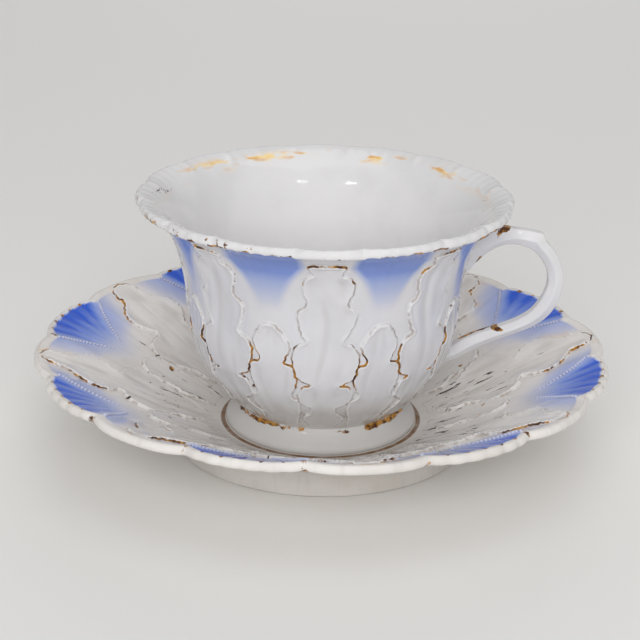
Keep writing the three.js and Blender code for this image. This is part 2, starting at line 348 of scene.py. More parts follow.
def raised(profile, along, relief):
    """Steps outwards and upwards that raise a relief square to a profile."""
    at, normals = lengths(profile), sideways(profile)
    return [np.interp(along, at, normals[:, k]) * relief for k in (0, 1)]


def flutes(share, count):
    """0 in the valleys and 1 on the backs of round flutes, for a share from -1 to 1."""
    t = ((share + 1) / 2 * count) % 1
    return 1 - (2 * t - 1) ** 2


def raised_leaf(distance, height, roll):
    """Height of the relief at a distance from a leaf's edge: groove, slope, rolled edge and hollow."""
    leaf = height * (smooth(*SLOPE, distance) - HOLLOW_SHARE * smooth(*HOLLOW, distance))
    return leaf + dab(distance, *ROLLED, roll) - dab(distance, *GROOVE, GROOVE_SHARE * height)


def folds(angle, number, along, spread):
    """Long soft folds that run the length of a leaf, closer together at its foot."""
    return sum(high * np.sin(close * spread * angle + bend * np.sin(slow * along + shift * number))
               for high, close, bend, slow, shift in FOLD_WAVES)


print("leaf pitch", round(math.degrees(PITCH)), "degrees")

# %% [markdown]
# The bowl of the cup
#
# Its wall leaves a narrow neck, stands nearly upright at the body and flares into an everted lip. The
# profile runs from the axis under the floor, up the outside, over the lip and down the inside,
# with close rows only where the ornament is, because the piece has to stay under 200,000 triangles.

# %% Profile of the bowl
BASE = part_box("cup_foot")[0].z / MM  # the cup's heights start here
LIP_RAISE = 0.4  # how far the underside of the lip stands out
RIM_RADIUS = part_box("cup_bowl")[1].x / MM - LIP_RAISE / 2
RIM_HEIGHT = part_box("cup_bowl")[1].z / MM - BASE
NECK_RADIUS, NECK_HEIGHT = 22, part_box("cup_bowl")[0].z / MM - BASE
BODY_RADIUS, BODY_HEIGHT = 35.4, 34
BODY_LEAN = math.radians(2.7)
BODY_BELOW, BODY_ABOVE = 15.1, 9.8
NECK_PULL = (7.6, 7.4)
FLARE = math.radians(15)
FLARE_PULL = 8.7
WALL, LIP = 2.2, 2.0
BOWL_FLOOR = NECK_HEIGHT + 3
BOWL_FILLET = 7
BOWL_STEPS = 512
ROW, FINE_ROW, FINE_FROM = 0.52, 0.3, 56  # rows are closer above this height, at the lip
INSIDE_ROW = 2

lean = Vector((math.sin(BODY_LEAN), math.cos(BODY_LEAN)))
flare_way = Vector((math.cos(FLARE), math.sin(FLARE)))
lip_centre = (RIM_RADIUS - LIP / 2, RIM_HEIGHT - LIP / 2)
rim_under = Vector(lip_centre) + Vector((math.sin(FLARE), -math.cos(FLARE))) * (LIP / 2)
body = (BODY_RADIUS, BODY_HEIGHT)
lower_wall = curve((NECK_RADIUS, NECK_HEIGHT), NECK_PULL, -lean * BODY_BELOW, body)
upper_wall = curve(body, lean * BODY_ABOVE, -flare_way * FLARE_PULL, rim_under)
whole_wall = joined(lower_wall, upper_wall)
under_lip = whole_wall[:, 1] > FINE_FROM
outer_wall = joined(evenly(whole_wall[~under_lip], ROW), evenly(whole_wall[under_lip], FINE_ROW))
thickness = np.linspace(WALL, LIP, len(outer_wall))[:, None]
inside_all = outer_wall - sideways(outer_wall) * thickness
inner_wall = evenly(inside_all[inside_all[:, 1] > BOWL_FLOOR + BOWL_FILLET][::-1], INSIDE_ROW)
floor_edge = curve(inner_wall[-1], (-2.2, -4.6), (6, 0), (14, BOWL_FLOOR), 10)
bowl_lip = half_round(lip_centre, LIP / 2, FLARE, 12)
under_floor = np.array([[0, NECK_HEIGHT], [8, NECK_HEIGHT], [16, NECK_HEIGHT]])
bowl_floor = np.array([[7, BOWL_FLOOR], [0, BOWL_FLOOR]])
bowl_profile = joined(under_floor, outer_wall, bowl_lip, inner_wall, floor_edge, bowl_floor)
wall_start = NECK_RADIUS
wall_end = wall_start + lengths(outer_wall)[-1]
lip_end = wall_end + math.pi * LIP / 2
print("wall", round(wall_end - wall_start, 1), "mm from neck to lip, in", len(outer_wall), "rows")

# %% [markdown]
# Moulding the bowl
#
# Each vertex moves along the wall's own normal by a height that depends on its distance from the leaf
# edges. The short leaves lie behind the tall ones. The rim is pulled in at sixteen notches with small
# scallops between them, and the white band under it ends in six scallops over each blue panel.

# %% Mould the bowl
TALL_LEAF = [
    (3.2, 7.5), (5.2, 11.4), (3.6, 13.4), (3.2, 15.6), (5.6, 16.8), (6.8, 19), (6.4, 21), (5.4, 22.4),
    (3.4, 22.9), (5.4, 23.9), (7.1, 25), (7.8, 27.4), (8.3, 30), (8.0, 32.2), (6.6, 34.2), (4.7, 35.2),
    (5.7, 37), (6.7, 39.6), (7.2, 41.8), (7.0, 43.4), (5.4, 44.8), (4.9, 46.2), (5.9, 48.3), (6.3, 50.6),
    (5.8, 52.4), (4.6, 53.6), (3.4, 54), (4.0, 55.4), (4.3, 56.8), (0, 57),
]
SHORT_LEAF = [
    (3.0, 7.5), (4.4, 11), (5.9, 14.4), (6.4, 17.4), (4.6, 19.2), (5.6, 22), (6.2, 24.6), (6.4, 26.8),
    (4.9, 28.1), (3.2, 28.8), (3.4, 30.2), (4.3, 31.8), (4.8, 33.8), (3.8, 36), (2.9, 37.4), (1.4, 38.9),
    (0, 39.1),
]
LEAF_HEIGHT, LEAF_ROLL, LEAF_RIPPLE = 0.3, 0.22, 0.1
FOLD, FOLD_SPREAD = 0.05, 33  # height of the folds in a leaf's lower half, and how many there are
HIGH_FOLD = 0.15  # height of the folds near a leaf's tip
FOLDS_GROW = (26, 44)  # heights between which they grow
HOOKS, CROWNS = (35.4, 2.2, 1.2), (38, 3, 1.3)  # thicker rolls: height, spread and gain
RIM_NOTCH = 1.2
LEAF_LOBE = math.radians(19.3)
LOBES_OUTSIDE, LOBES_INSIDE = 46, 60  # heights where the lobes start to show
SHELL_FLUTES, LEAF_FLUTES = 6, 4
RIM_SCALLOP = 0.3
LIP_BAND, LIP_SCALLOP = 0.5, 0.5
FLUTE_DEPTH, FLUTES_GROW = 0.12, (46, 58)

# Half-width and strength of the blue panels, by height
BLUE_HALF = [(44, 3.2), (47, 3.9), (50, 5.2), (52, 6.5), (54, 8.3), (56, 10.3)]
BLUE_DEPTH = [(42, 0), (46, 0.32), (49.5, 0.65), (54, 1)]
BLUE_SOFT = 1.6
# Height, spread and strength of the gold between the leaves and along their edges
POCKETS = [(20.2, 1.6, 1), (27.8, 1.0, 0.8)]
EDGE_GOLD = [(27, 13, 1.15), (52.5, 4.5, 0.66)]
TIP_GOLD, TIPS = 0.95, (54.8, 56.4)
LEAST_GOLD = 0.3
# The lip: a gold line under it, chips at the left, pale gold and spots inside
LIP_LINE, LIP_GOLD, LIP_SIDE_GOLD = (0.5, 0.9), 0.68, 0.14
CHIPS_AT, CHIPS_UP = (-0.9, 1.2, 0.66), (1.4, 2)
WASH_DOWN = (4.3, 2.6)
SPOTS_DOWN, SPOTS_WAVE, SPOTS_HALF, SPOTS = 5, 2.2, 2.8, 1.8
SPOTS_AT = (1.75, 0.55)
# Specks near the foot, then painted shade: darker towards the foot of the bowl and in the valleys of the
# folds
FOOT_SPOTS, LOW_PAINTED_SHADE, FOLD_PAINTED_SHADE = 0.35, 0.5, 0.18


def mould_bowl(bowl):
    mesh = bowl.data
    radius, azimuth, height = polar(mesh)
    along = values(mesh, "along")
    rise = height - BASE
    angle, number = nearest_leaf(azimuth)
    shell = nearest_leaf(azimuth - PITCH / 2)[0]
    on_outside = smooth(wall_start, wall_start + 1, along) * smooth(lip_end - 0.8, wall_end, along)
    wall_along = wall_start + lengths(outer_wall)
    from_tall, from_short = leaf_edges((TALL_LEAF, SHORT_LEAF), outer_wall[:, 1], wall_along,
                                       LEAF_RIPPLE, 1, azimuth, radius, along)

    hooks = LEAF_ROLL * (1 + dab(rise, *HOOKS))
    crowns = LEAF_ROLL * (1 + dab(rise, *CROWNS))
    relief = raised_leaf(from_tall, LEAF_HEIGHT, hooks) + raised_leaf(from_short, LEAF_HEIGHT, crowns)
    relief *= smooth(NECK_HEIGHT + 0.5, NECK_HEIGHT + 5, rise)
    on_leaf = smooth(0.8, 2.5, np.maximum(from_tall, from_short))
    fold_height = FOLD + (HIGH_FOLD - FOLD) * smooth(*FOLDS_GROW, rise)
    fold = folds(angle, number, along, FOLD_SPREAD)
    relief += fold_height * fold * on_leaf

    notch = LEAF_LOBE / 2
    share = np.clip(shell / (PITCH / 2 - notch), -1, 1)
    in_shell = smooth(1.0, 0.93, np.abs(share))
    fluted = flutes(share, SHELL_FLUTES) * in_shell
    hanging = 1 - 0.9 * fluted
    lip_edge = wall_end - LIP_BAND - LIP_SCALLOP * hanging
    from_lip_edge = along - lip_edge
    relief += LIP_RAISE * hanging * smooth(-0.25, 0.3, from_lip_edge)
    relief -= 0.1 * hump(from_lip_edge + 0.35, 0.5)
    off_leaf = smooth(0, -1.5, np.maximum(from_tall, from_short))
    relief += FLUTE_DEPTH * (fluted - in_shell) * smooth(*FLUTES_GROW, rise) * off_leaf
    relief += 0.05 * np.sin(5 * azimuth + 0.11 * along) * np.sin(0.21 * along + 2 * azimuth)
    relief *= on_outside

    out, up = raised(bowl_profile, along, relief)
    lobes_from = np.where(along < wall_end, LOBES_OUTSIDE, LOBES_INSIDE)
    pull = -RIM_NOTCH * notch_share(angle, notch) * smooth(lobes_from, RIM_HEIGHT, rise)
    on_leaf_lobe = np.abs(angle) < notch
    small = np.where(on_leaf_lobe, flutes(angle / notch, LEAF_FLUTES), flutes(share, SHELL_FLUTES))
    pull += RIM_SCALLOP * (small - 1) * smooth(RIM_HEIGHT - 2.2, RIM_HEIGHT - 0.9, rise)
    set_polar(mesh, radius + pull + out, azimuth, height + up)

    panel = np.interp(rise, *np.transpose(BLUE_HALF))
    depth = np.interp(rise, *np.transpose(BLUE_DEPTH))
    blue = depth * smooth(BLUE_SOFT, -BLUE_SOFT, np.abs(shell) * radius - panel)
    on_wall = (along > wall_start) & (along < lip_end)
    ground = smooth(0.1, -0.3, np.maximum(from_tall, from_short))
    pockets = np.maximum(*[dab(rise, *place) for place in POCKETS]) * ground
    edges = np.maximum(*[dab(rise, *place) for place in EDGE_GOLD])
    tips = np.maximum(TIP_GOLD * smooth(*TIPS, rise), LEAST_GOLD)
    back = smooth(0.3, -0.8, np.cos(azimuth))
    under_rim, up_lip = along - lip_end, along - wall_end
    chipped = dab(azimuth, *CHIPS_AT) * dab(up_lip, *CHIPS_UP)
    lip_gold = LIP_GOLD + LIP_SIDE_GOLD * smooth(0.25, 0.55, np.abs(azimuth))
    lip_line = lip_gold * dab(up_lip, *LIP_LINE)
    spots = dab(under_rim - SPOTS_DOWN, SPOTS_WAVE * np.sin(9 * azimuth), SPOTS_HALF, SPOTS)
    inside_spots = spots * dab(np.abs(azimuth), *SPOTS_AT)
    foot_spots = FOOT_SPOTS * on_outside * smooth(15, 7, rise)
    # Painted shade in the valleys of the folds on the leaves
    in_folds = FOLD_PAINTED_SHADE * on_leaf * smooth(-0.4, -1.3, fold)
    decorate(
        mesh,
        blue=blue * on_outside * smooth(0.2, -0.2, from_lip_edge),
        leaf=distance_layer(on_wall, from_tall),
        leaflet=distance_layer(on_wall, from_short),
        gilt=on_outside * np.maximum(edges, tips),
        band=np.maximum.reduce([on_outside * pockets, lip_line, chipped]),
        wash=dab(under_rim, *WASH_DOWN) * back,
        # Painted shade: darker towards the foot and in the folds
        grime=on_outside * np.maximum(LOW_PAINTED_SHADE * smooth(20, 9, rise), in_folds),
        specks=np.maximum.reduce([inside_spots, foot_spots, chipped]),
    )


bowl = spun("bowl_of_cup", bowl_profile + np.array([0, BASE]), BOWL_STEPS)
mould_bowl(bowl)

# %% [markdown]
# The foot of the cup
#
# The foot was turned on the wheel and stuck on, so one spun profile is enough: a flat ring to stand
# on, a soft edge, a slightly hollow slope up to the neck, and the inside of the ring.

# %% Turn the foot
FOOT_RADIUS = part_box("cup_foot")[1].x / MM
FOOT_INSIDE = FOOT_RADIUS - 4.2
FOOT_EDGE = 1.1
NECK_INSIDE = NECK_RADIUS - 3.6
CORE_RADIUS = NECK_INSIDE - 4
CORE_UNDER, CORE_TOP = NECK_HEIGHT - 0.3, NECK_HEIGHT + 0.8
FOOT_STEPS = 256
NECK_GOLD_DOWN, NECK_GOLD_WIDTH = 0.5, 1.5  # the gold round the neck lies just below it
WORN_LEAST, WORN_SIDES = 0.68, (0.95, 0.75, 0.34)  # what is left, and more at two azimuths
# Painted shade over the whole foot
FOOT_PAINTED_SHADE = 0.4


def turn_foot():
    edge, neck = (FOOT_RADIUS - 0.05, FOOT_EDGE), (NECK_RADIUS, NECK_HEIGHT)
    slope = curve(edge, (-0.2, 1.3), (0.7, -2.0), neck, 24)
    toe = curve((FOOT_RADIUS - 0.7, 0), (0.5, 0), (0.1, -0.6), edge, 8)
    hollow = curve((CORE_RADIUS, CORE_UNDER), (3.2, -0.2), (-0.6, 1.2), (FOOT_INSIDE, 0), 12)
    top = np.array([neck, (NECK_RADIUS - 1.2, CORE_TOP), (CORE_RADIUS, CORE_TOP),
                    (CORE_RADIUS, CORE_UNDER)])
    profile = joined(hollow, toe, slope, top)
    foot = spun("foot_of_cup", profile + np.array([0, BASE]), FOOT_STEPS)
    radius, azimuth, height = polar(foot.data)
    rise = height - BASE
    outside = smooth(NECK_INSIDE, NECK_INSIDE + 2, radius)
    worn = WORN_LEAST + dab(np.abs(azimuth), *WORN_SIDES)
    below_neck = rise - NECK_HEIGHT + NECK_GOLD_DOWN
    # The gold round the neck, and painted shade over the whole foot
    decorate(foot.data, band=worn * outside * hump(below_neck, NECK_GOLD_WIDTH), grime=FOOT_PAINTED_SHADE)
    return foot


foot = turn_foot()

# %% [markdown]
# The handle
#
# The handle was cast apart and stuck on with slip. Its bar has six sides: a flat back, a flat belly
# and a ridge on each flank. Each station pairs a point of the outer edge with one of the inner edge,
# and a hexagon with softened corners is extruded from station to station. Three stations close
# together make the sharp corner where the thumb rests. The ends are trimmed to the wall of the bowl.

# %% Extrude the handle
HANDLE_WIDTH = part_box("cup_handle")[1].y / MM * 2
# Outer reach and height, inner reach and height, and share of the full width
HANDLE_STATIONS = [
    (38.6, 55.6, 34.2, 38.6, 0.95), (42.7, 55.0, 37.9, 42.4, 0.95), (45.7, 54.5, 40.2, 45.2, 0.92),
    (48.4, 54.1, 43.0, 47.7, 0.92), (51.0, 53.8, 46.4, 49.5, 0.92), (53.6, 53.4, 49.6, 49.8, 0.95),
    (56.0, 52.9, 52.2, 49.2, 1.0), (57.0, 52.5, 53.3, 48.8, 1.0), (57.4, 51.5, 54.1, 48.4, 1.0),
    (57.9, 50.5, 54.8, 47.9, 0.99), (59.5, 48.8, 56.4, 46.2, 0.95), (61.2, 46.2, 58.0, 43.6, 0.92),
    (62.4, 43.3, 58.7, 41.2, 0.9), (62.9, 40.2, 58.8, 38.9, 0.9), (62.6, 36.9, 58.2, 36.5, 0.9),
    (61.6, 33.4, 57.0, 34.0, 0.91), (59.8, 30.4, 55.0, 31.3, 0.93), (57.2, 28.0, 52.0, 29.1, 0.94),
    (53.8, 26.1, 48.5, 27.5, 0.94), (49.8, 24.4, 44.9, 26.2, 0.94), (45.6, 22.7, 41.3, 24.9, 0.95),
    (41.6, 20.9, 38.3, 23.6, 0.97), (38.3, 19.1, 36.2, 22.4, 1.0), (34.7, 17.2, 34.3, 21.2, 1.04),
    (30.3, 15.4, 31.3, 19.9, 1.08),
]
HANDLE_STEPS = 144
HANDLE_SOFT = 0.34  # rounding of the edges
HANDLE_HOLD = 0.75  # from a corner to the points that keep the sides flat
HANDLE_BLUNT = 0.2  # how far a corner is drawn in, as a share of the rounding
BACK_SHARE = 0.52  # width of the back and the belly, against the ridges
SUNK = 0.9  # how deep the ends reach into the wall of the bowl


def extrude_handle():
    line = np.array(HANDLE_STATIONS)
    fine = np.linspace(0, len(line) - 1, HANDLE_STEPS + 1)
    bm = bmesh.new()
    layer = bm.verts.layers.float.new("station")
    side = bm.verts.layers.float.new("side")
    ring = None
    for station, (outer, top, inner, low, share) in zip(fine, cubic(line, fine)):
        back, belly = Vector((outer, 0, top + BASE)), Vector((inner, 0, low + BASE))
        width = Vector((0, HANDLE_WIDTH * share / 2, 0))
        ridge = (back + belly) / 2
        corners = [(back, BACK_SHARE, 1), (ridge, 1, 0), (belly, BACK_SHARE, -1),
                   (belly, -BACK_SHARE, -1), (ridge, -1, 0), (back, -BACK_SHARE, 1)]
        places = softened([(at + width * w) * MM for at, w, _ in corners])
        if ring is None:
            verts = [bm.verts.new(p) for p in places]
            bm.faces.new(verts)
        else:
            made = bmesh.ops.extrude_edge_only(bm, edges=ring)["geom"]
            verts = in_order([v for v in made if isinstance(v, bmesh.types.BMVert)], verts)
            for vert, spot in zip(verts, places):
                vert.co = spot
        for i, vert in enumerate(verts):
            vert[layer] = station
            vert[side] = corners[i * len(corners) // len(verts)][2]
        ring = [bm.edges.get((vert, verts[(i + 1) % len(verts)])) for i, vert in enumerate(verts)]
    bm.faces.new(verts)
    bmesh.ops.recalc_face_normals(bm, faces=list(bm.faces))
    return finished(bm, "handle_of_cup")


def softened(corners):
    """Five points for each corner of an outline: two on each side of it, and one a little inside."""
    points = []
    for i, corner in enumerate(corners):
        back = (corners[i - 1] - corner).normalized() * MM
        on = (corners[(i + 1) % len(corners)] - corner).normalized() * MM
        inside = corner + (back + on) * HANDLE_SOFT * HANDLE_BLUNT
        points += [corner + back * HANDLE_HOLD, corner + back * HANDLE_SOFT, inside,
                   corner + on * HANDLE_SOFT, corner + on * HANDLE_HOLD]
    return points


def in_order(new, old):
    """The vertices of a new ring, which still lies on the old one, in the old one's order."""
    return [min(new, key=lambda vert: (vert.co - before.co).length) for before in old]


def trim_ends(handle):
    """Pushes what would show inside the cup back into the wall."""
    mesh = handle.data
    radius, azimuth, height = polar(mesh)
    wall = np.interp(height - BASE, outer_wall[:, 1], outer_wall[:, 0]) - SUNK
    set_polar(mesh, np.maximum(radius, wall), azimuth, height)


handle = extrude_handle()
trim_ends(handle)

# %% Where the handle was gilded
# Station, spread and strength of the gold at the upper joint, on the flank, below, and at the knob
JOINT_GOLD, FLANK_GOLD = (2.3, 1.1, 1.5), (1.7, 0.9, 1.1)
LOWER_GOLD, KNOB_GOLD = (20.8, 2.8, 1.35), (18.8, 0.4, 1.3)
NEAR_SIDE = 0.2  # share of the lower gold that is left on the side facing the camera


def gild_handle():
    mesh = handle.data
    station, side = values(mesh, "station"), values(mesh, "side")
    near = np.where(polar(mesh)[1] < math.pi / 2, NEAR_SIDE, 1)
    joint = dab(station, *JOINT_GOLD) * smooth(-0.2, 0.4, side)
    flank = dab(station, *FLANK_GOLD) * smooth(-0.2, -0.9, side)
    lower = dab(station, *LOWER_GOLD) * smooth(-0.4, -0.9, side) * near
    knob = dab(station, *KNOB_GOLD) * smooth(0.1, -0.6, side)
    decorate(mesh, band=np.maximum.reduce([joint, flank, lower, knob]))


gild_handle()

# %% [markdown]
# The dish of the saucer
#
# One wall sweeps from the flat well to the scalloped rim and thins on the way. Its profile starts on
# the axis underneath, runs out to the thick round edge and comes back over the top, where the rows
# are close.

# %% Profile of the dish
DISH_RADIUS = 75.6
DISH_EDGE = 25.35  # height of the rim between its bumps
DISH_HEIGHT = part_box("saucer_dish")[1].z / MM
DISH_TURN = math.radians(7)
WELL_RADIUS = 27
WELL_TOP, WELL_UNDER = BASE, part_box("saucer_dish")[0].z / MM
DISH_WALL, DISH_LIP = 2.6, 2.3
WELL_PULL, RIM_PULL = (6, 1.2), (8, 2.1)
DISH_STEPS = 640
TOP_ROW, UNDER_ROW = 0.52, 3

rim_rise = math.atan2(RIM_PULL[1], RIM_PULL[0])
rim_centre = (DISH_RADIUS - DISH_LIP / 2, DISH_EDGE - DISH_LIP / 2)
rim_up = Vector((-math.sin(rim_rise), math.cos(rim_rise)))
crest = Vector(rim_centre) + rim_up * (DISH_LIP / 2)
dish_top = evenly(curve((WELL_RADIUS, WELL_TOP), WELL_PULL, -Vector(RIM_PULL), crest), TOP_ROW)
dish_thickness = np.linspace(DISH_WALL, DISH_LIP, len(dish_top))[:, None]
dish_under = evenly(dish_top + sideways(dish_top) * dish_thickness, UNDER_ROW)
round_edge = half_round(rim_centre, DISH_LIP / 2, rim_rise, 14)
well_under = np.column_stack([np.linspace(0, WELL_RADIUS - 2, 8), np.full(8, WELL_UNDER)])
well = np.column_stack([np.linspace(WELL_RADIUS - 1, 0, 12), np.full(12, WELL_TOP)])
dish_profile = joined(well_under, dish_under, round_edge, dish_top[::-1], well)
rim_start = lengths(joined(well_under, dish_under))[-1]
top_start = lengths(joined(well_under, dish_under, round_edge))[-1]
print("dish profile of", len(dish_profile), "points")

# %% [markdown]
# Moulding the dish
#
# The saucer's leaves are broader and its shells are real fans: six flutes spread from a point in the
# middle of the rim, and each flute ends in a scallop under the white lip.

# %% Mould the dish
DISH_TALL_LEAF = [
    (3.0, 29), (4.2, 32.5), (7.0, 36), (7.4, 39), (9.6, 41.6), (12.6, 45.4), (13.2, 49.2), (10.8, 52.4),
    (6.0, 54), (8.4, 57.4), (9.9, 60.6), (9.3, 63.6), (6.6, 65.6), (4.4, 67.4), (4.4, 70), (3.2, 72.6),
    (0, 74),
]
DISH_SHORT_LEAF = [
    (3.0, 29), (4.4, 33), (6.0, 36.6), (5.0, 40.2), (6.0, 43.4), (5.2, 47), (3.0, 49.6), (0, 50.6),
]
DISH_LEAF_HEIGHT, DISH_LEAF_ROLL, DISH_RIPPLE = 0.42, 0.36, 0.17
DISH_FOLD, DISH_SWAY = 0.09, 1.6
LEAVES_FADE = (29, 36)  # radii between which the leaves rise out of the well
MIDRIB = (0, 1.2, 0.16)  # a groove down the middle of a leaf: place, half-width and depth
DISH_NOTCH = 2.2
DISH_LOBES_FROM = 52
DISH_LOBE = PITCH / 4
FAN_POINT = 54.7  # radius where the two edges of a fan meet
FAN_SPREAD = 0.83  # half-width that a fan gains per mm of radius
FAN_FLUTE = 0.24
WHITE_LEAF, WHITE_FAN, WHITE_SCALLOP = 2.0, 0.5, 0.8  # how far the white rim reaches in
RIM_BUMP, EDGE_SCALLOP = 0.15, 0.4
EYE, EYE_SIZE = (14, 43.6), 1.5  # brown spots beside each leaf, across it and along the radius
FAN_BLUE, DEEPER, MIST = 0.74, 0.36, 0.6
MIST_HALF = [(50, 5), (58, 9), (61, 13), (68, 16), (76, 18.5)]  # radius, and degrees to each side
CUSP_CHIPS, NOTCH_CHIPS = 1.6, 0.72
DISH_GOLD, OUTER_GOLD, DISH_WASH = 0.42, 0.36, 0.2
# Painted shade: darker towards the well, and in the valleys of the folds
WELL_PAINTED_SHADE, DISH_FOLD_PAINTED_SHADE = 0.2, 0.26


def dish_pull(radius, angle):
    """How far the notches between the lobes draw the rim in."""
    return -DISH_NOTCH * notch_share(angle, DISH_LOBE) * smooth(DISH_LOBES_FROM, DISH_RADIUS, radius)


def mould_dish(dish):
    mesh = dish.data
    radius, azimuth, height = polar(mesh)
    along = values(mesh, "along")
    angle, number = nearest_leaf(azimuth - DISH_TURN)
    shell = nearest_leaf(azimuth - DISH_TURN - PITCH / 2)[0]
    on_top = smooth(top_start - 0.6, top_start + 0.4, along)
    out_along = lengths(dish_top)
    on_rise = np.interp(radius, dish_top[:, 0], out_along)
    from_tall, from_short = leaf_edges((DISH_TALL_LEAF, DISH_SHORT_LEAF), dish_top[:, 0], out_along,
                                       DISH_RIPPLE, DISH_SWAY, azimuth - DISH_TURN, radius, on_rise)

    fade = smooth(*LEAVES_FADE, radius)
    relief = raised_leaf(from_tall, DISH_LEAF_HEIGHT, DISH_LEAF_ROLL)
    relief += raised_leaf(from_short, DISH_LEAF_HEIGHT, DISH_LEAF_ROLL)
    inner = smooth(0.6, 2.2, from_tall)
    fold = folds(angle, number, radius, FOLD_SPREAD)
    relief += DISH_FOLD * fold * inner
    relief -= dab(angle * radius, *MIDRIB) * smooth(1.0, 2.5, from_tall)
    relief *= fade

    fan_half = np.maximum(FAN_SPREAD * (radius - FAN_POINT), 0.1)
    share = shell * radius / fan_half
    in_fan = smooth(1.04, 0.94, np.abs(share))
    fluted = flutes(share, SHELL_FLUTES)
    relief += FAN_FLUTE * (fluted - 0.8) * in_fan * smooth(FAN_POINT + 1, FAN_POINT + 9, radius)
    relief += 0.07 * np.sin(7 * azimuth + 0.2 * on_rise) * np.sin(0.24 * on_rise + 3 * azimuth) * fade
    in_lobe = smooth(1.0, 0.9, np.abs(shell) / DISH_LOBE)
    bumps = flutes(np.clip(shell / DISH_LOBE, -1, 1), SHELL_FLUTES) * in_lobe
    reach_in = WHITE_LEAF + (WHITE_FAN - WHITE_LEAF + WHITE_SCALLOP * (bumps - 0.5)) * in_lobe
    from_white = top_start + reach_in - along
    relief *= smooth(0.3, -0.8, from_white) * on_top
    on_rim = smooth(rim_start + 0.5, rim_start + 2, along) * smooth(-0.4, 0.4, from_white)
    relief += RIM_BUMP * (0.35 + 0.65 * np.where(in_lobe > 0, bumps, 0.7)) * on_rim

    out, up = raised(dish_profile, along, relief)
    pull = dish_pull(radius, angle)
    pull += EDGE_SCALLOP * (bumps - in_lobe) * smooth(DISH_RADIUS - 4, DISH_RADIUS - 0.5, radius)
    set_polar(mesh, radius + pull + out, azimuth, np.minimum(height + up, DISH_HEIGHT))

    # Deeper blue towards the rim and in the valleys of the flutes; in the valleys it is partly pooled
    # blue and partly painted shade
    deep = FAN_BLUE + DEEPER * smooth(60, 73, radius) * (0.6 + 0.4 * (1 - fluted))
    core = deep * smooth(1.3, 0.7, np.abs(share)) * smooth(FAN_POINT - 3, FAN_POINT + 10, radius)
    breadth = np.radians(np.interp(radius, *np.transpose(MIST_HALF)))
    mist = MIST * smooth(breadth + 0.09, breadth - 0.13, np.abs(shell)) * smooth(47, 67, radius)
    sprayed = smooth(top_start - 1, top_start, along) * smooth(0.25, -0.25, from_white)
    leaf_edge = np.maximum(from_tall, from_short)
    eyes = hump(np.hypot(np.abs(angle) * radius - EYE[0], radius - EYE[1]), EYE_SIZE)
    cusps = CUSP_CHIPS * hump(bumps, 0.8) * in_lobe * hump(from_white, 1.1)
    on_lip = smooth(rim_start - 1, rim_start + 0.5, along) * smooth(-0.8, 0.2, from_white)
    notches = NOTCH_CHIPS * notch_share(angle, DISH_LOBE) ** 2 * on_lip
    beside_leaf = smooth(-4, -0.6, leaf_edge) * smooth(0.5, -0.3, leaf_edge)
    # Painted shade in the valleys of the folds
    in_folds = DISH_FOLD_PAINTED_SHADE * inner * smooth(-0.5, -1.3, fold)
    decorate(
        mesh,
        blue=np.maximum(core, mist) * sprayed,
        leaf=distance_layer(on_top > 0.5, from_tall),
        leaflet=distance_layer(on_top > 0.5, from_short),
        gilt=on_top * fade * (DISH_GOLD + OUTER_GOLD * smooth(54, 66, radius)),
        band=np.maximum.reduce([eyes * on_top, cusps, notches]),
        wash=DISH_WASH * on_top * beside_leaf * smooth(54, 62, radius),
        # The brown ring round the cup's foot: worn gilding and painted shadow where the foot stands
        ring=distance_layer(on_top > 0.5, np.minimum(radius - FOOT_RADIUS, -OFF_LEAF)),
        # Painted shade: darker towards the well and in the folds
        grime=on_top * (WELL_PAINTED_SHADE * smooth(60, 40, radius) + in_folds),
        specks=on_top * smooth(28, 31, radius) * (0.6 + 0.4 * smooth(60, 48, radius)),
    )


dish = spun("dish_of_saucer", dish_profile, DISH_STEPS)
mould_dish(dish)

# %% [markdown]
# Beads beside the fans
#
# A row of small beads runs along both edges of each fan, tinted by the spray. As round drops of a
# few dozen faces each they cost little.

# %% Set the beads
BEAD = 0.54
BEAD_BLUE = 0.34  # the spray went over the beads as well
BEAD_STEP = 0.88  # between beads, along the radius
BEADS_FROM, BEADS_TO = 58.2, 72.4


def set_beads():
    bm = bmesh.new()
    for reach in np.arange(BEADS_FROM, BEADS_TO, BEAD_STEP):
        across = FAN_SPREAD * (reach - FAN_POINT) / reach
        size = BEAD * (0.7 + 0.3 * (reach - BEADS_FROM) / (BEADS_TO - BEADS_FROM))
        for fan in range(LEAVES):
            for side in (-1, 1):
                azimuth = DISH_TURN + (fan + 0.5) * PITCH + side * across
                out = reach + float(dish_pull(reach, PITCH / 2 - across))
                floor = float(np.interp(reach, dish_top[:, 0], dish_top[:, 1]))
                spot = Vector((out * math.sin(azimuth), -out * math.cos(azimuth), floor + 0.1))
                drop = Matrix.Translation(spot * MM) @ Matrix.Diagonal((1, 1, 0.8, 1))
                bmesh.ops.create_uvsphere(bm, u_segments=8, v_segments=5, radius=size * MM, matrix=drop)
    beads = finished(bm, "beads_of_saucer")
    decorate(beads.data, blue=BEAD_BLUE)
    return beads


beads = set_beads()

# %% [markdown]
# The foot ring of the saucer
#
# A plain ring with worn corners, turned in one piece and flared where it runs into the dish.

# %% Turn the foot ring
RING_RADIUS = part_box("saucer_foot_ring")[1].x / MM
RING_INSIDE = RING_RADIUS - 3.3
RING_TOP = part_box("saucer_foot_ring")[1].z / MM + 1.2
RING_ROUND = 0.6
# Painted shade over the whole ring
FOOT_RING_PAINTED_SHADE = 0.3


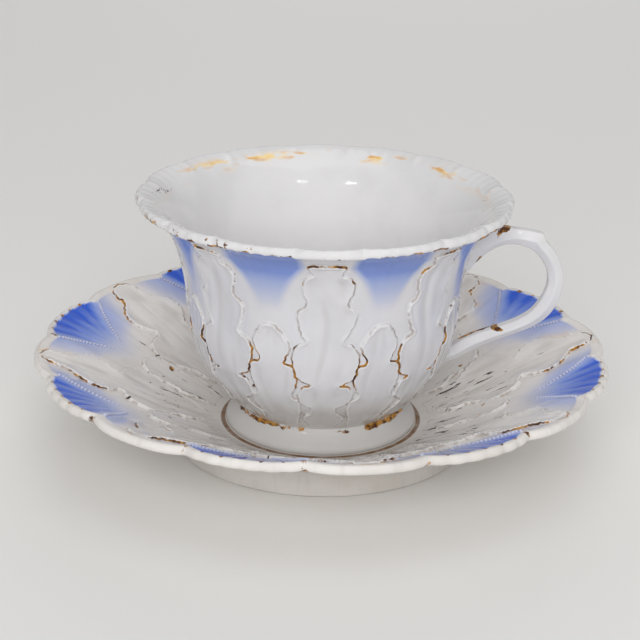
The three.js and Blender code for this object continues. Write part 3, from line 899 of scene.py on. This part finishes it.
def turn_ring():
    r, inside, soft = RING_RADIUS, RING_INSIDE, RING_ROUND
    outside = curve((r - soft, 0), (soft * 0.6, 0), (0, -soft * 0.6), (r, soft), 6)
    flare = curve((r, soft + 2.4), (0, 1.6), (-1.6, -0.6), (r + 2.4, RING_TOP + 0.9), 8)
    inner = curve((inside, soft), (0, -soft * 0.6), (-soft * 0.6, 0), (inside + soft, 0), 6)
    top = np.array([[inside, RING_TOP], [inside, 2.5]])
    profile = joined(inner, outside, flare, top, inner[:1])
    ring = spun("foot_ring_of_saucer", profile, FOOT_STEPS)
    # Painted shade over the whole ring
    decorate(ring.data, grime=FOOT_RING_PAINTED_SHADE)
    return ring


ring = turn_ring()

# %% [markdown]
# Glaze, blue and gold
#
# All pieces share one recipe: a clear glaze over white porcelain, blue that was sprayed before the
# last firing and so fades softly, and gilding that sat on top of the glaze and has mostly rubbed off.
# One shader does it all, so the colours, the metal and the gloss stay in step. The vertex layers say
# where blue and gold were put, and noise in object space says where the gold is worn. Fine streaks
# run out from the axis, as they do on a piece that was wiped on the wheel.

# %% Node helpers
class Value:
    """An output of a node, with the sums and ramps that the glaze is made of."""

    def __init__(self, socket):
        self.socket, self.tree = socket, socket.id_data

    def __add__(self, other):
        return calc("ADD", self, other)

    def __mul__(self, other):
        return calc("MULTIPLY", self, other)

    def ramped(self, low, high):
        """0 to 1 as the value goes from low to high, with an S between."""
        return add(self.tree, "MapRange", {"Value": self, "From Min": low, "From Max": high}, "Result",
                   interpolation_type="SMOOTHSTEP")


def add(tree, kind, inputs, output, **settings):
    """One output of a new node, which has its settings made and its inputs set or linked."""
    made = tree.nodes.new("ShaderNode" + kind)
    for name, value in settings.items():
        setattr(made, name, value)
    for name, value in inputs.items():
        if isinstance(value, Value):
            tree.links.new(value.socket, made.inputs[name])
        else:
            made.inputs[name].default_value = value
    return Value(made.outputs[output])


def layer(tree, name):
    return add(tree, "Attribute", {}, "Fac", attribute_name=name)


def calc(operation, *terms):
    return add(terms[0].tree, "Math", dict(enumerate(terms)), 0, operation=operation)


def noise(place, size, detail=3, rough=0.55):
    """Noise with blotches of about one size, in mm."""
    inputs = {"Vector": place, "Scale": 1 / (size * MM), "Detail": detail, "Roughness": rough}
    return add(place.tree, "TexNoise", inputs, "Fac")


def mixed(share, a, b):
    """A mix of two colours. The mix node also has sockets of other kinds, so these go by number."""
    return add(share.tree, "Mix", {0: share, 6: a, 7: b}, 2, data_type="RGBA")


def vector(operation, *terms):
    output = "Value" if operation == "LENGTH" else "Vector"
    return add(terms[0].tree, "VectorMath", dict(enumerate(terms)), output, operation=operation)


def colour(red, green, blue):
    """A linear colour from the 0 to 255 numbers of a picture."""
    parts = [c / 255 for c in (red, green, blue)]
    return (*[c / 12.92 if c <= 0.04045 else ((c + 0.055) / 1.055) ** 2.4 for c in parts], 1)


# %% Parts of the glaze
GOLD = colour(226, 166, 82)
TARNISH = colour(88, 50, 22)
PALE_GOLD = colour(254, 220, 142)
LILAC = colour(190, 184, 212)
BROWN = colour(122, 84, 44)
DIRT = colour(54, 40, 29)
# Warm grey for the wiped streaks and for painted shade
DUST_AND_SHADE = colour(186, 180, 170)
# White for the rolled edges: thin glaze and a painted highlight
EDGE_WHITE = colour(252, 251, 249)
LINE_OUT, LINE_HALF, LINE_SOFT = 0.1, 0.24, 0.1  # the gilder's line, beside a leaf's edge
RAISED_IN, RAISED_HALF, RAISED_SOFT = 0.3, 0.15, 0.3  # the rolled edge, whitened where the glaze is thin and as a painted highlight
RING_OUT, RING_HALF, RING_SOFT = 0.75, 0.6, 0.2  # the brown ring round the cup's foot: worn gilding and painted shadow
STREAK_REACH, STREAK_LENGTH = 0.045, 0.12
WEAR, CHIPPING, HELD = 0.7, 0.3, 0.34  # shares of broad and fine wear, and how firmly gold holds
GOLD_LEFT, GOLD_LAID = (0.74, 0.79), (0.05, 0.3)
THINNED, CLUSTERED, LESS = 0.62, 0.35, 0.15  # cap and share of clusters, fewer where specks are few
SPECKS, SCRATCHES = (0.64, 0.66), (0.607, 0.63)
WIPED, SPRAY_STREAKS, EDGE_THIN_AND_HIGHLIGHT, CREASED = 0.2, 0.4, 0.7, 0.42
LIGHT_BLUE, DEEP_BLUE = (0.02, 0.3), (0.7, 1.1)  # from lilac to blue, and on to the deep blue
GLOSS, GLOSS_RANGE, GOLD_ROUGH = 0.05, 0.05, 0.24
UNEVEN, BUMP = 0.12, {"Strength": 0.8, "Distance": 0.0004}


def combed(place):
    """Places for noise that is drawn out in streaks away from the axis."""
    flat = vector("MULTIPLY", place, (1, 1, 0))
    way = vector("MULTIPLY", vector("NORMALIZE", flat), (STREAK_REACH,) * 3)
    height = add(place.tree, "SeparateXYZ", {0: place}, "Z")
    along = (vector("LENGTH", flat) + height) * STREAK_LENGTH
    return vector("ADD", way, add(place.tree, "CombineXYZ", {"Z": along}, "Vector"))


def edge_line(tree, name, centre, half, soft):
    """1 on a thin line at some distance from a leaf's edge or from the cup's foot."""
    beside = calc("ABSOLUTE", layer(tree, name) + -centre)
    return beside.ramped(half + soft, half - soft)


def along_leaves(tree, *line):
    return calc("MAXIMUM", edge_line(tree, "leaf", *line), edge_line(tree, "leaflet", *line))


def left_gold(place, lines):
    """Where gold is left: laid along the leaves and in bands, and rubbed off in stretches and chips."""
    laid = calc("MAXIMUM", lines * layer(place.tree, "gilt"), layer(place.tree, "band"))
    chips = noise(place, 0.9, 4, 0.7) * CHIPPING
    left = noise(place, 4.2) * WEAR + chips + laid * HELD
    return left.ramped(*GOLD_LEFT) * laid.ramped(*GOLD_LAID)


def dark_specks(place, streaks, combing):
    """Burnt specks, and short scratches on a combed piece, in loose clusters."""
    thinned = calc("MINIMUM", noise(place, 16, 2), THINNED)
    clusters = thinned * CLUSTERED + (layer(place.tree, "specks") + -1) * LESS
    spots = noise(place, 1.1, 3, 0.65) * (1 - CLUSTERED) + clusters
    scratches = noise(streaks, 1.3, 3) * (1 - CLUSTERED) + clusters
    return calc("MAXIMUM", spots.ramped(*SPECKS), scratches.ramped(*SCRATCHES) * combing)


# %% The glaze
def glazed(name, white, cloudy, blue, deep_blue, combing):
    """Glazed porcelain with sprayed blue and worn gold."""
    material = bpy.data.materials.new(name)
    material.use_nodes = True
    tree = material.node_tree
    shader = tree.nodes["Principled BSDF"]
    place = add(tree, "TexCoord", {}, "Object")
    streaks = combed(place)

    base = mixed(noise(place, 14).ramped(0.4, 0.68), white, cloudy)
    wiped = noise(streaks, 1.6, 4).ramped(0.5, 0.75)
    base = mixed(wiped * (WIPED * combing), base, DUST_AND_SHADE)
    # Painted shade: darker towards the feet and the well, in the folds and on the feet
    base = mixed(layer(tree, "grime"), base, DUST_AND_SHADE)
    streaky = SPRAY_STREAKS * combing
    spray = layer(tree, "blue") * (noise(streaks, 2.2) * streaky + (1 - streaky / 2))
    tint = mixed(spray.ramped(*LIGHT_BLUE), LILAC, blue)
    tint = mixed(spray.ramped(*DEEP_BLUE), tint, deep_blue)
    base = mixed(spray, base, tint)
    squat = vector("MULTIPLY", place, (1, 1, 4))
    pale = layer(tree, "wash") * noise(squat, 10, 2).ramped(0.52, 0.62)
    base = mixed(pale, base, mixed(noise(squat, 5).ramped(0.45, 0.65), PALE_GOLD, GOLD))
    # Rolled leaf edges whitened: thin glaze and a painted highlight
    rolled = along_leaves(tree, RAISED_IN, RAISED_HALF, RAISED_SOFT)
    base = mixed(rolled * EDGE_THIN_AND_HIGHLIGHT, base, EDGE_WHITE)
    lines = along_leaves(tree, -LINE_OUT, LINE_HALF, LINE_SOFT)
    crease = lines * noise(place, 3).ramped(0.44, 0.62) * CREASED
    # Brown along the leaf edges and in the ring round the cup's foot; the ring is worn gilding and
    # painted shadow
    ring_stain_and_shadow = edge_line(tree, "ring", RING_OUT, RING_HALF, RING_SOFT) * (noise(place, 3) + 0.4)
    base = mixed(calc("MAXIMUM", crease, ring_stain_and_shadow), base, BROWN)
    specks = dark_specks(place, streaks, combing) * layer(tree, "specks").ramped(0.1, 0.6)
    base = mixed(specks, base, DIRT)

    gold = left_gold(place, lines)
    dull = noise(place, 2.0, 4).ramped(0.38, 0.58)
    glossy = noise(place, 5).ramped(0.3, 0.7) * GLOSS_RANGE + GLOSS
    combs = noise(streaks, 1.6, 3) * (UNEVEN * combing)
    height = noise(place, 6, 2) * UNEVEN + combs + rolled * 0.5
    surface = {
        "Base Color": mixed(gold, base, mixed(dull, GOLD, TARNISH)),
        "Metallic": gold * (dull * -0.5 + 0.75),
        "Roughness": glossy + gold * GOLD_ROUGH,
        "Normal": add(tree, "Bump", {"Height": height, **BUMP}, "Normal"),
    }
    for socket, value in surface.items():
        tree.links.new(value.socket, shader.inputs[socket])
    return material


cup_glaze = glazed("cup_glaze", white=colour(232, 231, 232), cloudy=colour(226, 225, 226),
                   blue=colour(150, 172, 226), deep_blue=colour(128, 152, 218), combing=0)
saucer_glaze = glazed("saucer_glaze", white=colour(237, 233, 229), cloudy=colour(227, 222, 217),
                      blue=colour(84, 132, 226), deep_blue=colour(42, 90, 210), combing=1)
print("glazes made:", cup_glaze.name, saucer_glaze.name)

# %% [markdown]
# Fixing the pieces to the frame
#
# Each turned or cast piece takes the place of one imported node, the beads are extra, and all of them
# move with their own body, so the whole cup lifts off the saucer.

# %% Ride, replace and dress
PIECES = [
    (bowl, "cup", "cup_bowl", cup_glaze),
    (foot, "cup", "cup_foot", cup_glaze),
    (handle, "cup", "cup_handle", cup_glaze),
    (dish, "saucer", "saucer_dish", saucer_glaze),
    (ring, "saucer", "saucer_foot_ring", saucer_glaze),
    (beads, "saucer", None, saucer_glaze),
]
for piece, carrier, node, glaze in PIECES:
    piece.data.materials.append(glaze)
    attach(piece, carrier)
    if node:
        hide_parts(node)
print("pieces fixed:", [piece.name for piece, *_ in PIECES])

# %% [markdown]
# Floor and light
#
# A pale floor carries the shadow and fills the frame behind the cup. The light is plain and soft: an
# even sky, a broad lamp in front that lights the wall facing the camera, weaker ones behind and
# overhead, and two small soft boxes that put the short highlights on the rolled edges of the leaves.
# The lamps in front and behind are kept out of the reflections, where they would cover the moulding.

# %% Floor
FLOOR_SIZE = 3
FLOOR_WHITE, FLOOR_ROUGH = colour(242, 241, 239), 0.6


def lay_floor():
    bm = bmesh.new()
    bmesh.ops.create_grid(bm, x_segments=1, y_segments=1, size=FLOOR_SIZE)
    floor = finished(bm, "floor")
    material = bpy.data.materials.new("pale_floor")
    material.use_nodes = True
    shader = material.node_tree.nodes["Principled BSDF"]
    shader.inputs["Base Color"].default_value = FLOOR_WHITE
    shader.inputs["Roughness"].default_value = FLOOR_ROUGH
    floor.data.materials.append(material)


lay_floor()

# %% Lamps and sky
AIM = (0, 0, 0.04)
SKY, SKY_STRENGTH = colour(240, 239, 238), 0.4
# Name, place, size, watts, and whether it shows in reflections
LAMPS = [
    ("front_fill", (-0.05, -1.15, 0.6), (0.9, 0.6), 8.4, False),
    ("back_fill", (0.1, 1.2, 0.7), (0.9, 0.6), 3, False),
    ("overhead", (0.1, -0.05, 1.2), (1.0, 1.0), 2.5, True),
    ("soft_box_left", (-0.4, -0.85, 0.85), (0.18, 0.045), 0.3, True),
    ("soft_box_right", (0.34, -0.9, 0.9), (0.17, 0.045), 0.24, True),
]
for name, place, size, watts, reflected in LAMPS:
    light = bpy.data.lights.new(name, "AREA")
    light.shape = "RECTANGLE"
    light.size, light.size_y = size
    light.energy = watts
    lamp = bpy.data.objects.new(name, light)
    lamp.location = place
    lamp.rotation_euler = (Vector(AIM) - Vector(place)).to_track_quat("-Z", "Y").to_euler()
    lamp.visible_glossy = reflected
    bpy.context.scene.collection.objects.link(lamp)
world = bpy.data.worlds.new("sky")
world.use_nodes = True
world.node_tree.nodes["Background"].inputs["Color"].default_value = SKY
world.node_tree.nodes["Background"].inputs["Strength"].default_value = SKY_STRENGTH
bpy.context.scene.world = world
bpy.context.scene.view_settings.view_transform = "Standard"
